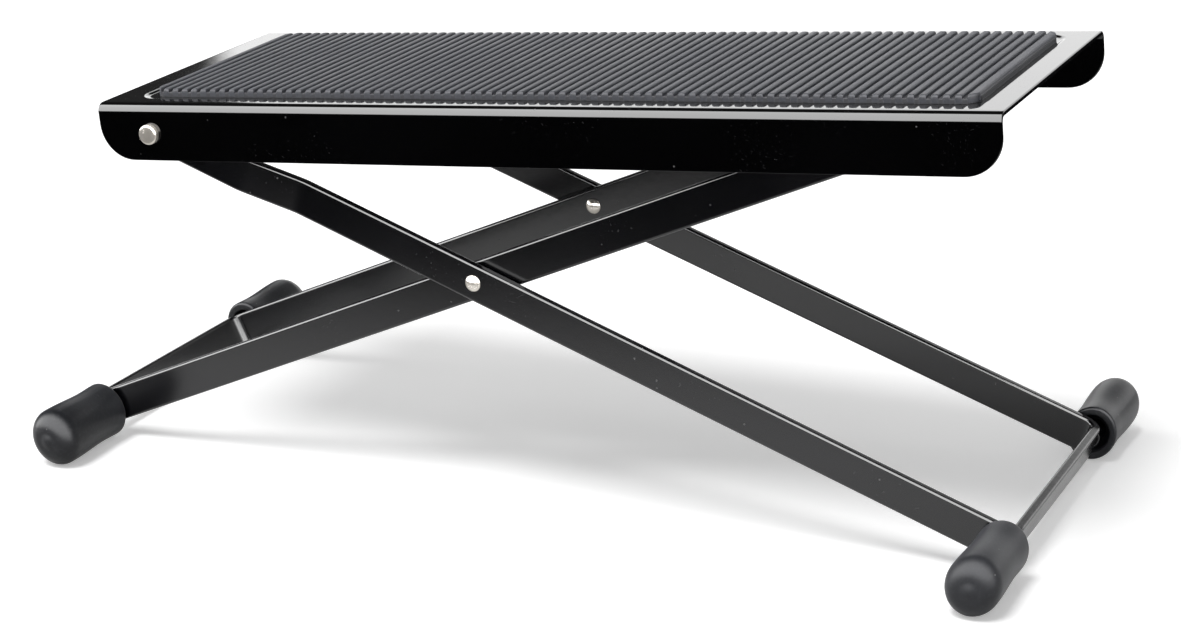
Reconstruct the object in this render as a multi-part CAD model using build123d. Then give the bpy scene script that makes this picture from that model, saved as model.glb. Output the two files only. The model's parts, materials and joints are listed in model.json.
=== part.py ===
from build123d import *
from math import acos, asin, atan2, cos, degrees, floor, radians, sin, sqrt
import os

# Guitar footrest: a pressed steel platform on two crossed leg frames that fold flat
# Millimetres, +Z up, X along the platform, standing on z = 0 at its lowest setting

# Platform sheet
platform_length = 300.0
platform_width = 110.0
sheet = 1.5
flange_height = 18.4
bend_radius = 3.0
flange_corner_radius = 11.5

# Shallow tray pressed into the top for the mat
tray_left_border = 10.5
tray_right_border = 9.0
tray_side_border = 8.5
tray_depth = 0.5
tray_corner_radius = 7.0

# Ribbed mat
mat_left_gap = 3.5
mat_right_gap = 1.5
mat_side_gap = 3.5
mat_corner_radius = 5.0
mat_base = 1.6
rib_pitch = 3.537
rib_width = 2.3
rib_height = 1.1
rib_round = 0.6

# Distances between the axes of the linkage
pivot_inset = 18.8
pivot_depth = 9.7
outer_upper_length = 117.4
outer_lower_length = 181.9
inner_upper_length = 138.5
inner_lower_length = 155.9
rod_depth = 12.5
rod_depth_highest = 10.1

# Angles in degrees between the crossing legs at the lowest and highest settings
lowest_fold = 43.0
highest_fold = 83.2

# Leg strip
strip_width = 11.5
strip_thickness = 3.0
strip_edge_round = 0.8
corner_bend_radius = 4.5
crossbar_offset = 1.4
jog_start = 33.0
jog_length = 20.0
jog_offset = 4.0
jog_radius = 20.0

# Room between neighbours across the width
pivot_gap = 1.0
mid_gap = 1.0
washer_thickness = 0.8
running_clearance = 0.1
fixed_clearance = 0.05

# Pivot rivets, which join the platform to the outer legs
pivot_shank_diameter = 4.4
pivot_head_diameter = 6.6
pivot_head_height = 2.1
pivot_head_round = 0.7
pivot_tail_diameter = 6.2
pivot_tail_height = 1.3
pivot_washer_diameter = 9.0

# Mid rivets, which join the crossing legs
mid_shank_diameter = 3.6
mid_head_diameter = 5.4
mid_head_height = 1.2
mid_washer_diameter = 9.0

# Support rod and height racks
rod_diameter = 6.0
spigot_diameter = 4.6
rack_plane = 28.0
rack_sheet = 2.0
rack_foot_width = 9.0
rack_end_margin = 6.0
notch_count = 5
notch_clearance = 0.3
tooth_clearance = 0.4

# Rubber foot caps, and the pegs that carry them
cap_diameter = 19.2
cap_mouth_diameter = 18.4
cap_oval_share = 0.865
cap_length = 34.5
cap_taper_length = 26.0
cap_rim_round = 5.5
cap_crown = 0.6
cap_stand_off = 1.0
mouth_bore_diameter = 12.9
mouth_bore_depth = 5.0
mouth_edge_round = 0.7
peg_diameter = 7.0
peg_length = 28.0
peg_lead = 0.8

# Half distances across the width, from the flange inwards
half_width = platform_width / 2
flange_inner = half_width - sheet
outer_top_plane = flange_inner - pivot_gap - strip_thickness / 2
outer_plane = outer_top_plane - jog_offset
inner_plane = outer_plane - strip_thickness - mid_gap
outer_face = outer_plane + strip_thickness / 2
inner_face = inner_plane + strip_thickness / 2


# The distance from the platform's pivot to the support rod when the legs cross at an angle
def span_at(fold):
    along = outer_upper_length + inner_upper_length * cos(radians(fold))
    return sqrt(along**2 + (inner_upper_length * sin(radians(fold))) ** 2)


lowest_span = span_at(lowest_fold)
highest_span = span_at(highest_fold)

# Half the height and half the thickness of an oval foot cap
cap_half_height = cap_diameter / 2
cap_half_thickness = cap_half_height * cap_oval_share


# Height of a foot's axis above the ground, with the oval cap leaning at the leg's slope
def foot_height(slope):
    return sqrt((cap_half_thickness * sin(slope)) ** 2 + (cap_half_height * cos(slope)) ** 2)


# Slopes of the legs at the lowest setting, from the line that joins the two foot axes
fold_angle = radians(lowest_fold)
outer_run = outer_lower_length + inner_lower_length * cos(fold_angle)
outer_rise = inner_lower_length * sin(fold_angle)
foot_span = sqrt(outer_run**2 + outer_rise**2)
even_slope = atan2(outer_rise, outer_run)
height_step = foot_height(fold_angle - even_slope) - foot_height(even_slope)
outer_slope = even_slope + asin(height_step / foot_span)
inner_slope = fold_angle - outer_slope
span_angle = acos(
    (outer_upper_length**2 + lowest_span**2 - inner_upper_length**2)
    / (2 * outer_upper_length * lowest_span)
)
platform_tilt = span_angle + asin((rod_depth - pivot_depth) / lowest_span) - outer_slope

# The two hinge axes seen from the side, with the origin under the middle of the footrest
right_reach = outer_lower_length * cos(outer_slope)
left_reach = inner_lower_length * cos(inner_slope)
mid_height = foot_height(outer_slope) + outer_lower_length * sin(outer_slope)
mid_axis = Vector((left_reach - right_reach) / 2, 0, mid_height)
pivot_axis = mid_axis + Vector(-cos(outer_slope), 0, sin(outer_slope)) * outer_upper_length

# Each moving piece is drawn lying flat, with x along it and z square to it, and then set in place
outer_place = Location(mid_axis, (0, degrees(outer_slope), 0))
inner_place = Location(mid_axis, (0, -degrees(inner_slope), 0))
platform_place = Location(pivot_axis, (0, -degrees(platform_tilt), 0))

# The platform as drawn: its pivot axis is the origin, and the top face lies above it
top_level = pivot_depth
left_end = -pivot_inset
right_end = platform_length - pivot_inset
tray_level = top_level - tray_depth
underside = tray_level - sheet


# A round bar across the width, between two distances from the middle plane
def cross_bar(diameter, start, end, x=0, z=0):
    bar = Cylinder(diameter / 2, end - start, rotation=(90, 0, 0))
    return Pos(x, (start + end) / 2, z) * bar


# A closed profile of (radius, distance) points turned about the Y axis, with some corners rounded
def turned(points, rounds=()):
    face = make_face(Polyline(*points, close=True))
    for corner, radius in rounds:
        near = Vector(*points[corner])
        face = fillet(face.vertices().sort_by_distance(near)[0], radius)
    return revolve(face, Axis.Y)


# A rounded rectangle standing between two heights
def rounded_block(left, right, half_depth, bottom, top, radius):
    outline = RectangleRounded(right - left, 2 * half_depth, radius)
    return Pos((left + right) / 2, 0, bottom) * extrude(outline, top - bottom)


# Half of a strip's section turned half a turn about the hinge axis: the round end of a leg
def round_end(x, plane, side):
    half = Rectangle(strip_thickness, strip_width)
    half = fillet(half.vertices(), strip_edge_round)
    half &= Pos(0, side * strip_width / 2) * Rectangle(strip_width, strip_width)
    section = Plane(origin=(0, 0, 0), x_dir=(0, 1, 0), z_dir=(1, 0, 0)) * half
    return Pos(x, plane, 0) * revolve(section, Axis.Y, 180)


# A flat strip bent to a U: down one leg, across the crossbar at the foot and back up the other
def bent_strip(points, radii):
    there = [Vector(x, y, 0) for x, y in points]
    back = [Vector(x, -y, 0) for x, y in reversed(points)]
    path = FilletPolyline(*there, *back, radius=radii + radii[::-1])
    away = (there[1] - there[0]).normalized()
    start = Plane(origin=there[0], x_dir=(0, 1, 0), z_dir=away)
    section = start * RectangleRounded(strip_thickness, strip_width, strip_edge_round)
    return sweep(section, path=path)


# The outer legs: jogged inwards below the platform, crossbar at the right foot
def outer_leg_frame():
    top = -outer_upper_length
    points = [
        (top, outer_top_plane),
        (top + jog_start, outer_top_plane),
        (top + jog_start + jog_length, outer_plane),
        (outer_lower_length + crossbar_offset, outer_plane),
    ]
    frame = bent_strip(points, [jog_radius, jog_radius, corner_bend_radius])
    for side in (1, -1):
        frame += round_end(top, side * outer_top_plane, -1)
    frame -= cross_bar(pivot_shank_diameter + 2 * running_clearance, -half_width, half_width, x=top)
    frame -= cross_bar(mid_shank_diameter + 2 * fixed_clearance, -half_width, half_width)
    return outer_place * frame


# The inner legs: straight, crossbar at the left foot, holes for the support rod at the top
def inner_leg_frame():
    points = [
        (inner_upper_length, inner_plane),
        (-inner_lower_length - crossbar_offset, inner_plane),
    ]
    frame = bent_strip(points, [corner_bend_radius])
    for side in (1, -1):
        frame += round_end(inner_upper_length, side * inner_plane, 1)
    rod_hole = spigot_diameter + 2 * fixed_clearance
    frame -= cross_bar(rod_hole, -half_width, half_width, x=inner_upper_length)
    frame -= cross_bar(mid_shank_diameter + 2 * running_clearance, -half_width, half_width)
    return inner_place * frame


# A channel section along the platform: flat top, two flanges with rounded bends
def channel_section():
    outer = Pos(0, -flange_height / 2) * Rectangle(platform_width, flange_height)
    outer = fillet(outer.vertices().group_by(Axis.Y)[-1], bend_radius)
    inside_height = flange_height - sheet
    inner = Pos(0, -sheet - inside_height / 2) * Rectangle(platform_width - 2 * sheet, inside_height)
    inner = fillet(inner.vertices().group_by(Axis.Y)[-1], bend_radius - sheet)
    return outer - inner


# The platform sheet: channel, rounded flange ends, pressed tray and the two rivet holes
def platform_channel():
    across = Plane(origin=(left_end, 0, top_level), x_dir=(0, 1, 0), z_dir=(1, 0, 0))
    channel = extrude(across * channel_section(), platform_length)
    middle = (left_end + right_end) / 2
    side = Pos(middle, top_level - flange_height / 2) * Rectangle(platform_length, flange_height)
    side = fillet(side.vertices().group_by(Axis.Y)[0], flange_corner_radius)
    standing = Plane(origin=(0, half_width, 0), x_dir=(1, 0, 0), z_dir=(0, -1, 0))
    channel &= extrude(standing * side, platform_width)
    tray = (left_end + tray_left_border, right_end - tray_right_border, half_width - tray_side_border)
    channel += rounded_block(*tray, underside, top_level - sheet, tray_corner_radius)
    channel -= rounded_block(*tray, tray_level, top_level, tray_corner_radius)
    channel -= cross_bar(pivot_shank_diameter + 2 * fixed_clearance, -platform_width, platform_width)
    return platform_place * channel


# The outline of one rib: up one side, over its rounded top and down the other side
def rib_outline(left, right, low):
    shoulder = low + rib_height - rib_round
    return [
        Line((left, low), (left, shoulder)),
        CenterArc((left + rib_round, shoulder), rib_round, 90, 90),
        Line((left + rib_round, low + rib_height), (right - rib_round, low + rib_height)),
        CenterArc((right - rib_round, shoulder), rib_round, 0, 90),
        Line((right, shoulder), (right, low)),
    ]


# The mat: a slab with rounded corners and a rib across the width at each pitch, the last one widest
def ribbed_mat():
    left = left_end + tray_left_border + mat_left_gap
    right = right_end - tray_right_border - mat_right_gap
    half_depth = half_width - tray_side_border - mat_side_gap
    base_top = tray_level + mat_base
    rib_top = base_top + rib_height
    count = floor((right - left - rib_width) / rib_pitch) + 1
    outline = [Polyline((right, base_top), (right, tray_level), (left, tray_level), (left, base_top))]
    start = left
    for number in range(count):
        rib_left = left + number * rib_pitch
        rib_right = rib_left + rib_width if number < count - 1 else right
        if number > 0:
            outline.append(Line((start, base_top), (rib_left, base_top)))
        outline += rib_outline(rib_left, rib_right, base_top)
        start = rib_right
    standing = Plane(origin=(0, half_depth, 0), x_dir=(1, 0, 0), z_dir=(0, -1, 0))
    mat = extrude(standing * make_face(Wire(Curve() + outline)), 2 * half_depth)
    mat &= rounded_block(left, right, half_depth, tray_level, rib_top, mat_corner_radius)
    return platform_place * mat


# A pivot rivet on the +Y side: drum head outside the flange, formed tail inside the leg
def pivot_rivet():
    shank = pivot_shank_diameter / 2
    head = pivot_head_diameter / 2
    tail = pivot_tail_diameter / 2
    leg_back = outer_top_plane - strip_thickness / 2 - running_clearance
    points = [
        (0, leg_back - pivot_tail_height),
        (tail, leg_back - pivot_tail_height),
        (tail, leg_back),
        (shank, leg_back),
        (shank, half_width),
        (head, half_width),
        (head, half_width + pivot_head_height),
        (0, half_width + pivot_head_height),
    ]
    rounds = [(1, pivot_head_round), (6, pivot_head_round)]
    return platform_place * turned(points, rounds)


# A flat washer on the +Y side, centred in its gap
def washer(outside, hole, gap_start, gap):
    middle = gap_start + gap / 2
    start = middle - washer_thickness / 2
    end = middle + washer_thickness / 2
    return cross_bar(outside, start, end) - cross_bar(hole, start - gap, end + gap)


def pivot_washer():
    hole = pivot_shank_diameter + 2 * fixed_clearance
    ring = washer(pivot_washer_diameter, hole, flange_inner - pivot_gap, pivot_gap)
    return platform_place * ring


def mid_washer():
    hole = mid_shank_diameter + 2 * fixed_clearance
    ring = washer(mid_washer_diameter, hole, inner_face, mid_gap)
    return outer_place * ring


# A mid rivet on the +Y side: domed heads outside the outer leg and inside the inner leg
def mid_rivet():
    head = mid_head_diameter / 2
    inside = inner_plane - strip_thickness / 2 - running_clearance
    dome_radius = (head**2 + mid_head_height**2) / (2 * mid_head_height)
    rivet = cross_bar(mid_shank_diameter, inside, outer_face)
    for base, way in ((outer_face, 1), (inside, -1)):
        ball = Pos(0, base + way * (mid_head_height - dome_radius), 0) * Sphere(dome_radius)
        outside = Box(2 * mid_head_diameter, 2 * mid_head_height, 2 * mid_head_diameter)
        rivet += ball & Pos(0, base + way * mid_head_height, 0) * outside
    return outer_place * rivet


# The rod across the inner legs, with a spigot riveted flush in each leg
def support_rod():
    shoulder = inner_plane - strip_thickness / 2
    rod = cross_bar(rod_diameter, -shoulder, shoulder)
    rod += cross_bar(spigot_diameter, -inner_face, inner_face)
    return inner_place * Pos(inner_upper_length, 0, 0) * rod


# A height rack on the +Y side: a foot along the plate and a web with a notch at each setting
def height_rack():
    notch_radius = rod_diameter / 2 + notch_clearance
    low_x = lowest_span
    high_x = highest_span
    low_z = top_level - rod_depth
    high_z = top_level - rod_depth_highest
    reach = notch_radius + rack_end_margin
    rise = (high_z - low_z) / (low_x - high_x)
    edge_lift = rod_diameter / 2 + tooth_clearance
    right = low_x + reach
    left = high_x - reach
    web = make_face(
        Polyline(
            (left, underside),
            (left, high_z + edge_lift + rise * reach),
            (right, low_z + edge_lift - rise * reach),
            (right, underside),
            close=True,
        )
    )
    for number in range(notch_count):
        share = number / (notch_count - 1)
        notch_x = low_x + share * (high_x - low_x)
        notch_z = low_z + share * (high_z - low_z) + edge_lift
        web -= Pos(notch_x, notch_z) * Circle(notch_radius)
    standing = Plane(origin=(0, rack_plane + rack_sheet / 2, 0), x_dir=(1, 0, 0), z_dir=(0, -1, 0))
    rack = extrude(standing * web, rack_sheet)
    foot = Box(right - left, rack_foot_width, rack_sheet)
    foot_y = rack_plane + rack_sheet / 2 - rack_foot_width / 2
    rack += Pos((left + right) / 2, foot_y, underside - rack_sheet / 2) * foot
    return platform_place * rack


# An oval rubber cap on the +Y side, open towards the leg and closed outwards, lying along X
def foot_cap(leg_face):
    mouth = leg_face + cap_stand_off
    end = mouth + cap_length
    peg_end = leg_face + peg_length
    points = [
        (mouth_bore_diameter / 2, mouth),
        (cap_mouth_diameter / 2, mouth),
        (cap_half_height, mouth + cap_taper_length),
        (cap_half_height, end - cap_crown),
        (0, end),
        (0, mouth + mouth_bore_depth),
        (mouth_bore_diameter / 2, mouth + mouth_bore_depth),
    ]
    cap = turned(points, [(3, cap_rim_round), (1, mouth_edge_round)])
    cap = scale(cap, by=(cap_oval_share, 1, 1))
    return cap - cross_bar(peg_diameter + 2 * fixed_clearance, mouth, peg_end + fixed_clearance)


# A steel peg on the +Y side, welded on the strip's corner and cut to fit round it
def foot_peg(leg_plane, leg_face, frame, place):
    start = leg_plane - strip_thickness / 2
    end = leg_face + peg_length
    peg = cross_bar(peg_diameter, start, end)
    peg = chamfer(peg.edges().sort_by(Axis.Y)[-1], peg_lead)
    peg = place * peg - frame
    return peg.solids().sort_by(Axis.Y)[-1]


# A piece on the +Y side is the back one, and its mirror image is the front one
def both_sides(name, back_piece):
    return {name + "_back": back_piece, name + "_front": mirror(back_piece, about=Plane.XZ)}


def footrest():
    right_foot = outer_place * Pos(outer_lower_length, 0, 0)
    left_foot = inner_place * Pos(-inner_lower_length, 0, 0)
    outer_frame = outer_leg_frame()
    inner_frame = inner_leg_frame()
    nodes = {
        "outer_leg_frame": outer_frame,
        "inner_leg_frame": inner_frame,
        "platform_channel": platform_channel(),
        "ribbed_mat": ribbed_mat(),
        "support_rod": support_rod(),
    }
    nodes |= both_sides("pivot_rivet", pivot_rivet())
    nodes |= both_sides("pivot_washer", pivot_washer())
    nodes |= both_sides("mid_rivet", mid_rivet())
    nodes |= both_sides("mid_washer", mid_washer())
    nodes |= both_sides("height_rack", height_rack())
    nodes |= both_sides("foot_cap_right", right_foot * foot_cap(outer_face))
    nodes |= both_sides("foot_cap_left", left_foot * foot_cap(inner_face))
    nodes |= both_sides("foot_peg_right", foot_peg(outer_plane, outer_face, outer_frame, right_foot))
    nodes |= both_sides("foot_peg_left", foot_peg(inner_plane, inner_face, inner_frame, left_foot))
    return nodes


os.makedirs("parts", exist_ok=True)
for name, piece in footrest().items():
    export_step(piece, os.path.join("parts", name + ".step"))
print("hinge axes: pivot", pivot_axis, "mid", mid_axis)
print("slopes in degrees: outer", degrees(outer_slope), "inner", degrees(inner_slope))
print("platform tilt in degrees", degrees(platform_tilt), "fold", degrees(fold_angle))
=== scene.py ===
import json
import bmesh
import bpy
import numpy as np
from mathutils import Matrix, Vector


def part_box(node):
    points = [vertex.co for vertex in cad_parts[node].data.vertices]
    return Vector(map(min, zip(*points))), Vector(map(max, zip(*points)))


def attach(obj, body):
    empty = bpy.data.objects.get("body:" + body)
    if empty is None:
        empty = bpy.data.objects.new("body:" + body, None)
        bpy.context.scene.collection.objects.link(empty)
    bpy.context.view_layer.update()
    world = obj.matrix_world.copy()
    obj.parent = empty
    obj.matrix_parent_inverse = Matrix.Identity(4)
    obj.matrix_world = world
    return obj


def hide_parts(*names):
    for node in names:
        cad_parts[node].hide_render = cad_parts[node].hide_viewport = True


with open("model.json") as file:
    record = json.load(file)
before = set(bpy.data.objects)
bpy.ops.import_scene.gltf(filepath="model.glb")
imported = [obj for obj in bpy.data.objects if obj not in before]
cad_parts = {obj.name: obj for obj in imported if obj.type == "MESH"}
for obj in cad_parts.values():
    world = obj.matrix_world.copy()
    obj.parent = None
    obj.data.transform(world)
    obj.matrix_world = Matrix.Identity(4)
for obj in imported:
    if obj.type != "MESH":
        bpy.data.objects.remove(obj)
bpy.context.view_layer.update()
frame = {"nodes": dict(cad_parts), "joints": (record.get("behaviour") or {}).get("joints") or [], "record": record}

# Folding guitar footrest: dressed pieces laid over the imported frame, sizes in millimetres
mm = 0.001
print("frame loaded, nodes:", len(frame["nodes"]))


# Axes read from the frame

jointPlaces = {joint["name"]: np.array(joint["pos_m"]) for joint in frame["joints"]}
platformPivot = jointPlaces["platform_pivot"]
legPivot = jointPlaces["leg_pivot"]
plateNormal = np.array(frame["record"]["mounts"][0]["axis"])


# Middle of a node's box: half the sum of its low and high corners
def middleOf(node):
    low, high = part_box(node)
    return (np.array(low) + np.array(high)) / 2


# Local axes in the plane y = 0: x along a unit heading, y across, z square to both and upwards
def axesAlong(heading):
    along = np.array([heading[0], 0.0, heading[2]]) / np.hypot(heading[0], heading[2])
    return np.array([along, [0.0, 1.0, 0.0], [-along[2], 0.0, along[0]]])


rightFoot = middleOf("foot_cap_right_front") * [1, 0, 1]
leftFoot = middleOf("foot_cap_left_front") * [1, 0, 1]
rodPlace = middleOf("support_rod") * [1, 0, 1]
platformAxes = axesAlong([plateNormal[2], 0.0, -plateNormal[0]])
outerAxes = axesAlong(rightFoot - legPivot)
innerAxes = axesAlong(legPivot - leftFoot)


# Local millimetres to metres in the row frame: origin plus each coordinate times its axis
def placed(points, origin, axes):
    return origin + (np.asarray(points) @ axes) * mm


# Distance in millimetres seen along y: the root of the squares of the x and z steps
def lengthBetween(a, b):
    return float(np.hypot(*(a - b)[[0, 2]])) / mm


# Mesh helpers

# A mesh object from vertices and face lists; doubles closer than the merge distance are joined
def meshPiece(name, vertices, faces, merge=0.0):
    mesh = bpy.data.meshes.new(name)
    mesh.from_pydata(np.asarray(vertices).reshape(-1, 3).tolist(), [], faces)
    if merge > 0:
        work = bmesh.new()
        work.from_mesh(mesh)
        bmesh.ops.remove_doubles(work, verts=work.verts, dist=merge)
        bmesh.ops.recalc_face_normals(work, faces=work.faces)
        work.to_mesh(mesh)
        work.free()
    mesh.polygons.foreach_set("use_smooth", np.ones(len(mesh.polygons), bool))
    mesh.update()
    piece = bpy.data.objects.new(name, mesh)
    bpy.context.scene.collection.objects.link(piece)
    return piece


# Quads of a grid of rows by columns, numbered row by row, wrapping round where asked
def gridFaces(rows, columns, wrapRows=False, wrapColumns=False, first=0):
    i = np.arange(rows if wrapRows else rows - 1)[:, None]
    j = np.arange(columns if wrapColumns else columns - 1)[None, :]
    nextI, nextJ = (i + 1) % rows, (j + 1) % columns
    corners = [i * columns + j, nextI * columns + j, nextI * columns + nextJ, i * columns + nextJ]
    quads = np.stack([np.broadcast_to(c, (i.size, j.size)) for c in corners], -1)
    return (quads.reshape(-1, 4) + first).tolist()


# A quarter turn from one direction to another about a centre: centre + radius (cos t from + sin t to)
def quarter(centre, radius, fromWay, toWay, steps):
    t = np.linspace(0, np.pi / 2, steps + 1)[:, None]
    return np.array(centre) + radius * (np.cos(t) * np.array(fromWay) + np.sin(t) * np.array(toWay))


# A closed section, width by height with round corners: four quarter turns, and a point close by
# each end of every turn so that the flats between them shade flat
def roundedSection(width, height, radius, steps=6, support=0.15):
    w, h = width / 2 - radius, height / 2 - radius
    turns = [
        ((w, h), (1, 0), (0, 1)),
        ((-w, h), (0, 1), (-1, 0)),
        ((-w, -h), (-1, 0), (0, -1)),
        ((w, -h), (0, -1), (1, 0)),
    ]
    rows = []
    for centre, start, end in turns:
        arc = quarter(centre, radius, start, end, steps)
        room = np.minimum(support, 0.6 * np.array([w, h]))
        before = arc[0] - room * end
        after = arc[-1] - room * start
        rows += [before[None], arc, after[None]]
    return np.concatenate(rows)


# A line through points with tangent arcs at its corners: each arc starts its radius times the
# tangent of half the turn before the corner; returns places and unit headings
def filletedPath(points, radii, stepsPerTurn, support=0.4):
    points = np.asarray(points, float)
    runs = np.diff(points, axis=0)
    runs /= np.linalg.norm(runs, axis=1)[:, None]
    places, headings = [points[:1]], [runs[:1]]
    for corner, radius, before, after in zip(points[1:-1], radii, runs[:-1], runs[1:]):
        turn = np.arctan2(before[0] * after[1] - before[1] * after[0], before @ after)
        left = np.sign(turn) * np.array([-before[1], before[0]])
        reach = radius * np.tan(abs(turn) / 2)
        centre = corner - before * reach + left * radius
        t = np.linspace(0, abs(turn), stepsPerTurn + 1)[:, None]
        arc = centre - radius * (np.cos(t) * left - np.sin(t) * before)
        heading = np.cos(t) * before + np.sin(t) * left
        places += [arc[:1] - support * before, arc, arc[-1:] + support * after]
        headings += [heading[:1], heading, heading[-1:]]
    places.append(points[-1:])
    headings.append(runs[-1:])
    return np.concatenate(places), np.concatenate(headings)


# A profile of (radius, distance along y) turned about the y axis:
# x = r cos a, z = r sin a, y = distance; ends on the axis close by merging
def turnedSurface(profile, around, wobble=None):
    profile = np.asarray(profile, float)
    a = np.linspace(0, 2 * np.pi, around, endpoint=False)
    radius = profile[:, :1] * np.ones((1, around))
    if wobble is not None:
        radius = radius * (1 + wobble(profile[:, 1:], a[None, :]))
    y = profile[:, 1:] * np.ones((1, around))
    return np.stack([radius * np.cos(a), y, radius * np.sin(a)], -1)


# A turned piece set on its axis; the oval share, one per profile point, squeezes it along x
def turnedPiece(name, profile, origin, axes, around=72, wobble=None, oval=1.0, side=1):
    surface = turnedSurface(profile, around, wobble) * [1, side, 1]
    surface[..., 0] *= np.broadcast_to(oval, len(profile))[:, None]
    vertices = placed(surface, origin, axes)
    return meshPiece(name, vertices, gridFaces(*surface.shape[:2], wrapColumns=True), merge=1e-7)


# A profile through corner points with round corners: straight runs and tangent arcs, as on a lathe
def roundedProfile(corners, radii, steps=6):
    places, _ = filletedPath(corners, radii, steps, support=0.05)
    return places


# Shader helpers

# The constant on one of a node's own input sockets
def socketPut(node, name, value):
    node.inputs[name].default_value = value


# A node tree with short ways to add, join and mix nodes
class NodeBench:
    def __init__(self, tree):
        self.tree = tree

    def add(self, kind, **settings):
        node = self.tree.nodes.new(kind)
        for name, value in settings.items():
            setattr(node, name, value)
        return node

    def join(self, source, target):
        self.tree.links.new(source, target)

    def maths(self, operation, first, second=0.0, clamp=False):
        node = self.add("ShaderNodeMath", operation=operation, use_clamp=clamp)
        for socket, value in zip(node.inputs, (first, second)):
            if isinstance(value, (int, float)):
                socket.default_value = value
            else:
                self.join(value, socket)
        return node.outputs[0]

    # value between two limits becomes 0 to 1, smoothly
    def ramp(self, value, low, high, outLow=0.0, outHigh=1.0):
        node = self.add("ShaderNodeMapRange", interpolation_type="SMOOTHSTEP")
        self.join(value, node.inputs["Value"])
        socketPut(node, "From Min", low)
        socketPut(node, "From Max", high)
        socketPut(node, "To Min", outLow)
        socketPut(node, "To Max", outHigh)
        return node.outputs["Result"]

    def blend(self, factor, first, second):
        node = self.add("ShaderNodeMix", data_type="RGBA")
        for name, value in (("Factor", factor), ("A", first), ("B", second)):
            fitting = [s for s in node.inputs if s.name == name and s.type in ("RGBA", "VALUE")]
            socket = next(s for s in fitting if s.enabled)
            if isinstance(value, tuple) or isinstance(value, (int, float)):
                socket.default_value = value
            else:
                self.join(value, socket)
        return next(s for s in node.outputs if s.enabled)

    def noise(self, vector, scale, detail=2.0, roughness=0.5):
        node = self.add("ShaderNodeTexNoise")
        self.join(vector, node.inputs["Vector"])
        if isinstance(scale, (int, float)):
            node.inputs["Scale"].default_value = scale
        else:
            self.join(scale, node.inputs["Scale"])
        socketPut(node, "Detail", detail)
        socketPut(node, "Roughness", roughness)
        return node.outputs["Fac"]


# A node group with named inputs and outputs; the filler joins them
def newGroup(name, inputs, outputs, fill):
    tree = bpy.data.node_groups.new(name, "ShaderNodeTree")
    for label, kind, value in inputs:
        socket = tree.interface.new_socket(name=label, in_out="INPUT", socket_type=kind)
        if value is not None:
            socket.default_value = value
    for label, kind in outputs:
        tree.interface.new_socket(name=label, in_out="OUTPUT", socket_type=kind)
    bench = NodeBench(tree)
    source, sink = bench.add("NodeGroupInput"), bench.add("NodeGroupOutput")
    fill(bench, source.outputs, sink.inputs)
    return tree


# Dust: small dots at cell centres, kept only where the cell's random red passes the sparsity
def fillSpecks(bench, given, wanted):
    cells = bench.add("ShaderNodeTexVoronoi")
    bench.join(given["Vector"], cells.inputs["Vector"])
    bench.join(given["Scale"], cells.inputs["Scale"])
    near = bench.ramp(cells.outputs["Distance"], 0.16, 0.07)
    pick = bench.add("ShaderNodeSeparateColor")
    bench.join(cells.outputs["Color"], pick.inputs["Color"])
    chosen = bench.maths("GREATER_THAN", pick.outputs["Red"], given["Sparsity"])
    bench.join(bench.maths("MULTIPLY", near, chosen), wanted["Mask"])


# Hairlines: a thin slice of a noise stretched across its run, kept only inside broad patches
def fillScratches(bench, given, wanted):
    turn = bench.add("ShaderNodeVectorRotate", rotation_type="EULER_XYZ")
    bench.join(given["Vector"], turn.inputs["Vector"])
    bench.join(given["Rotation"], turn.inputs["Rotation"])
    stretch = bench.add("ShaderNodeVectorMath", operation="MULTIPLY")
    bench.join(turn.outputs["Vector"], stretch.inputs[0])
    stretch.inputs[1].default_value = (1.0, 22.0, 22.0)
    bend = bench.noise(given["Vector"], 40.0, 1.0)
    shift = bench.add("ShaderNodeVectorMath", operation="ADD")
    bench.join(stretch.outputs[0], shift.inputs[0])
    bench.join(bend, shift.inputs[1])
    line = bench.noise(shift.outputs[0], given["Scale"], 1.0)
    thin = bench.ramp(line, 0.70, 0.74)
    patch = bench.ramp(bench.noise(given["Vector"], 24.0, 1.0), 0.5, 0.62)
    bench.join(bench.maths("MULTIPLY", thin, patch), wanted["Mask"])


# Two noises, one broad for drift and one fine for grain
def fillUnevenness(bench, given, wanted):
    broad = bench.noise(given["Vector"], given["Broad Scale"], 3.0)
    fine = bench.noise(given["Vector"], given["Fine Scale"], 4.0, 0.6)
    bench.join(broad, wanted["Broad"])
    bench.join(fine, wanted["Fine"])


specksGroup = newGroup(
    "dustSpecks",
    [
        ("Vector", "NodeSocketVector", None),
        ("Scale", "NodeSocketFloat", 400.0),
        ("Sparsity", "NodeSocketFloat", 0.9),
    ],
    [("Mask", "NodeSocketFloat")],
    fillSpecks,
)
scratchesGroup = newGroup(
    "hairScratches",
    [
        ("Vector", "NodeSocketVector", None),
        ("Scale", "NodeSocketFloat", 60.0),
        ("Rotation", "NodeSocketVector", (0.0, 0.0, 0.6)),
    ],
    [("Mask", "NodeSocketFloat")],
    fillScratches,
)
unevennessGroup = newGroup(
    "unevenness",
    [
        ("Vector", "NodeSocketVector", None),
        ("Broad Scale", "NodeSocketFloat", 18.0),
        ("Fine Scale", "NodeSocketFloat", 900.0),
    ],
    [("Broad", "NodeSocketFloat"), ("Fine", "NodeSocketFloat")],
    fillUnevenness,
)


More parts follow.
